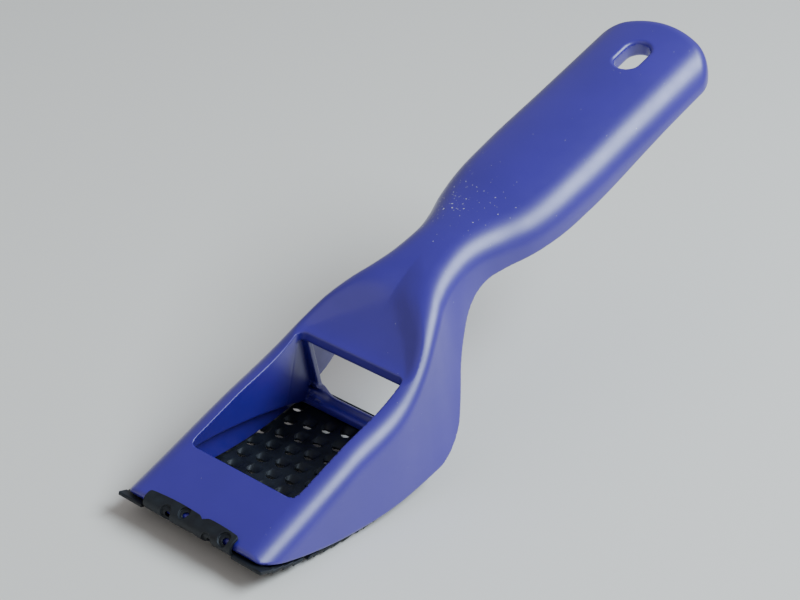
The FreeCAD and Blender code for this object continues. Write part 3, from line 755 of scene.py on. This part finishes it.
class Looks:
    """A node material, with its shader and short ways to add textures to it."""

    def __init__(self, name):
        self.material = bpy.data.materials.new(name)
        self.material.use_nodes = True
        self.nodes = self.material.node_tree.nodes
        self.links = self.material.node_tree.links
        self.shader = self.nodes["Principled BSDF"]
        self.place = self.nodes.new("ShaderNodeTexCoord").outputs["Object"]

    def set(self, values):
        """Sets the shader's own sockets."""
        for name, value in values.items():
            self.shader.inputs[name].default_value = value

    def feed(self, source, name):
        """Links an output to one of the shader's sockets."""
        self.links.new(source, self.shader.inputs[name])

    def noise(self, scale, detail, roughness=0.5):
        """Noise in the object's own space."""
        node = self.nodes.new("ShaderNodeTexNoise")
        node.inputs["Scale"].default_value = scale
        node.inputs["Detail"].default_value = detail
        node.inputs["Roughness"].default_value = roughness
        self.links.new(self.place, node.inputs["Vector"])
        return node.outputs["Fac"]

    def span(self, source, old, new=(0.0, 1.0)):
        """Values between the old limits, stretched to run between the new ones."""
        node = self.nodes.new("ShaderNodeMapRange")
        for name, value in zip(("From Min", "From Max", "To Min", "To Max"), (*old, *new)):
            node.inputs[name].default_value = value
        self.links.new(source, node.inputs["Value"])
        return node.outputs["Result"]

    def mixed(self, share, first, second):
        """A colour between the first, which may be another node's output, and the second."""
        node = self.nodes.new("ShaderNodeMix")
        node.data_type = "RGBA"
        if isinstance(first, tuple):
            node.inputs["A"].default_value = (*first, 1)
        else:
            self.links.new(first, node.inputs["A"])
        node.inputs["B"].default_value = (*second, 1)
        self.links.new(share, node.inputs["Factor"])
        return node.outputs["Result"]

    def distance(self, middle):
        """Distance from a place."""
        node = self.nodes.new("ShaderNodeVectorMath")
        node.operation = "DISTANCE"
        node.inputs[1].default_value = middle
        self.links.new(self.place, node.inputs[0])
        return node.outputs["Value"]

    def added(self, first, second):
        """Sum of two outputs."""
        node = self.nodes.new("ShaderNodeMath")
        self.links.new(first, node.inputs[0])
        self.links.new(second, node.inputs[1])
        return node.outputs["Value"]

    def bump(self, height, strength, depth):
        """Fine relief on the surface."""
        node = self.nodes.new("ShaderNodeBump")
        node.inputs["Strength"].default_value = strength
        node.inputs["Distance"].default_value = depth
        self.links.new(height, node.inputs["Height"])
        self.feed(node.outputs["Normal"], "Normal")


def plastic_material():
    """Blue-violet plastic with a satin sheen, faint mottling and a little wood dust."""
    looks = Looks("satin_blue_plastic")
    mottling = looks.span(looks.noise(scale=45, detail=4), old=(0.3, 0.7))
    base = looks.mixed(mottling, *PLASTIC_COLOURS)
    gathered = looks.span(looks.distance(DUST_MIDDLE), DUST_FADE, (DUST_GATHERING, 0.0))
    specks = looks.added(looks.noise(scale=1500, detail=2, roughness=0.4), gathered)
    dust = looks.span(specks, DUST_SPECKS, (0.0, DUST_COVER))
    looks.feed(looks.mixed(dust, base, DUST_COLOUR), "Base Color")
    haze = looks.noise(scale=260, detail=5, roughness=0.6)
    looks.feed(looks.span(haze, (0.25, 0.75), PLASTIC_ROUGHNESS), "Roughness")
    looks.bump(looks.noise(scale=5200, detail=2), strength=0.22, depth=PLASTIC_GRAIN)
    looks.set({"IOR": 1.5, "Specular IOR Level": 0.9, "Coat Weight": 0.5, "Coat Roughness": 0.3})
    return looks.material


def steel_material():
    """Black oxide steel, faintly worn to grey in patches."""
    looks = Looks("black_oxide_steel")
    cloud = looks.noise(scale=160, detail=5, roughness=0.6)
    looks.feed(looks.mixed(looks.span(cloud, old=(0.35, 0.7)), *STEEL_COLOURS), "Base Color")
    looks.feed(looks.span(cloud, (0.3, 0.7), STEEL_ROUGHNESS), "Roughness")
    looks.bump(looks.noise(scale=3500, detail=3, roughness=0.6), strength=0.25, depth=STEEL_GRAIN)
    looks.set({"Metallic": 0.35})
    return looks.material


def floor_material():
    """Plain pale floor."""
    looks = Looks("pale_floor")
    looks.set({"Base Color": (*FLOOR_COLOUR, 1), "Roughness": FLOOR_ROUGHNESS})
    return looks.material


# ---------------------------------------------------------------- pieces


def place_piece(piece, material, body, node):
    """Gives a piece its material, and tells the frame what it rides on and stands for."""
    piece.data.materials.append(material)
    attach(piece, body)
    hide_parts(node)


place_piece(make_body(), plastic_material(), "handle", "handle_frame")
place_piece(make_blade(), steel_material(), "blade", "rasp_blade")


# ---------------------------------------------------------------- stage, lights and camera: lengths in metres

FLOOR_REACH = 3.0
WORLD_COLOUR = (0.84, 0.86, 0.92)
WORLD_STRENGTH = 0.37
LIGHT_TARGET = (0.05, 0, 0.03)

# The camera stands and looks as in the photograph. Its lens and its sensor are in millimetres.
CAMERA_PLACE = Vector((-0.2814, -0.2423, 0.2483))
CAMERA_AZIMUTH = math.radians(-52.83)
CAMERA_ELEVATION = math.radians(27.79)
CAMERA_ROLL = math.radians(-4.65)
CAMERA_LENS = 88.23
CAMERA_SENSOR = 36
CAMERA_CLIP = 0.01


def make_floor():
    """One plain square, which the tool stands on."""
    reach = FLOOR_REACH
    corners = [(-reach, -reach, 0), (reach, -reach, 0), (reach, reach, 0), (-reach, reach, 0)]
    mesh = bpy.data.meshes.new("floor")
    mesh.from_pydata(corners, [], [(0, 1, 2, 3)])
    floor = bpy.data.objects.new("floor", mesh)
    floor.data.materials.append(floor_material())
    bpy.context.scene.collection.objects.link(floor)


def set_world():
    """Even light from all round."""
    world = bpy.data.worlds.new("studio")
    world.use_nodes = True
    background = world.node_tree.nodes["Background"]
    background.inputs["Color"].default_value = (*WORLD_COLOUR, 1)
    background.inputs["Strength"].default_value = WORLD_STRENGTH
    bpy.context.scene.world = world


def make_camera():
    """Camera at the photograph's angle."""
    level = math.cos(CAMERA_ELEVATION)
    back = Vector(
        (math.sin(CAMERA_AZIMUTH) * level, -math.cos(CAMERA_AZIMUTH) * level, math.sin(CAMERA_ELEVATION))
    )
    right = (-back).cross(Vector((0, 0, 1))).normalized()
    up = right.cross(-back).normalized()
    c, s = math.cos(CAMERA_ROLL), math.sin(CAMERA_ROLL)
    data = bpy.data.cameras.new("camera")
    data.sensor_width = CAMERA_SENSOR
    data.lens = CAMERA_LENS
    data.clip_start = CAMERA_CLIP
    camera = bpy.data.objects.new("camera", data)
    turn = Matrix((right * c - up * s, right * s + up * c, back)).transposed().to_4x4()
    camera.matrix_world = Matrix.Translation(CAMERA_PLACE) @ turn
    bpy.context.scene.collection.objects.link(camera)
    bpy.context.scene.camera = camera


def soft_light(name, place, size, power, colour):
    """A rectangular area light that faces the tool. Its power is in watts."""
    data = bpy.data.lights.new(name, "AREA")
    data.shape = "RECTANGLE"
    data.size, data.size_y = size
    data.energy = power
    data.color = colour
    light = bpy.data.objects.new(name, data)
    light.location = place
    light.rotation_euler = (Vector(LIGHT_TARGET) - Vector(place)).to_track_quat("-Z", "Y").to_euler()
    bpy.context.scene.collection.objects.link(light)


make_floor()
set_world()
make_camera()
soft_light("key", place=(0.35, -0.55, 0.75), size=(0.8, 0.45), power=15, colour=(0.74, 0.88, 1.0))
soft_light("fill", place=(-0.7, 0.2, 0.6), size=(0.8, 0.8), power=0.8, colour=(1, 1, 1))
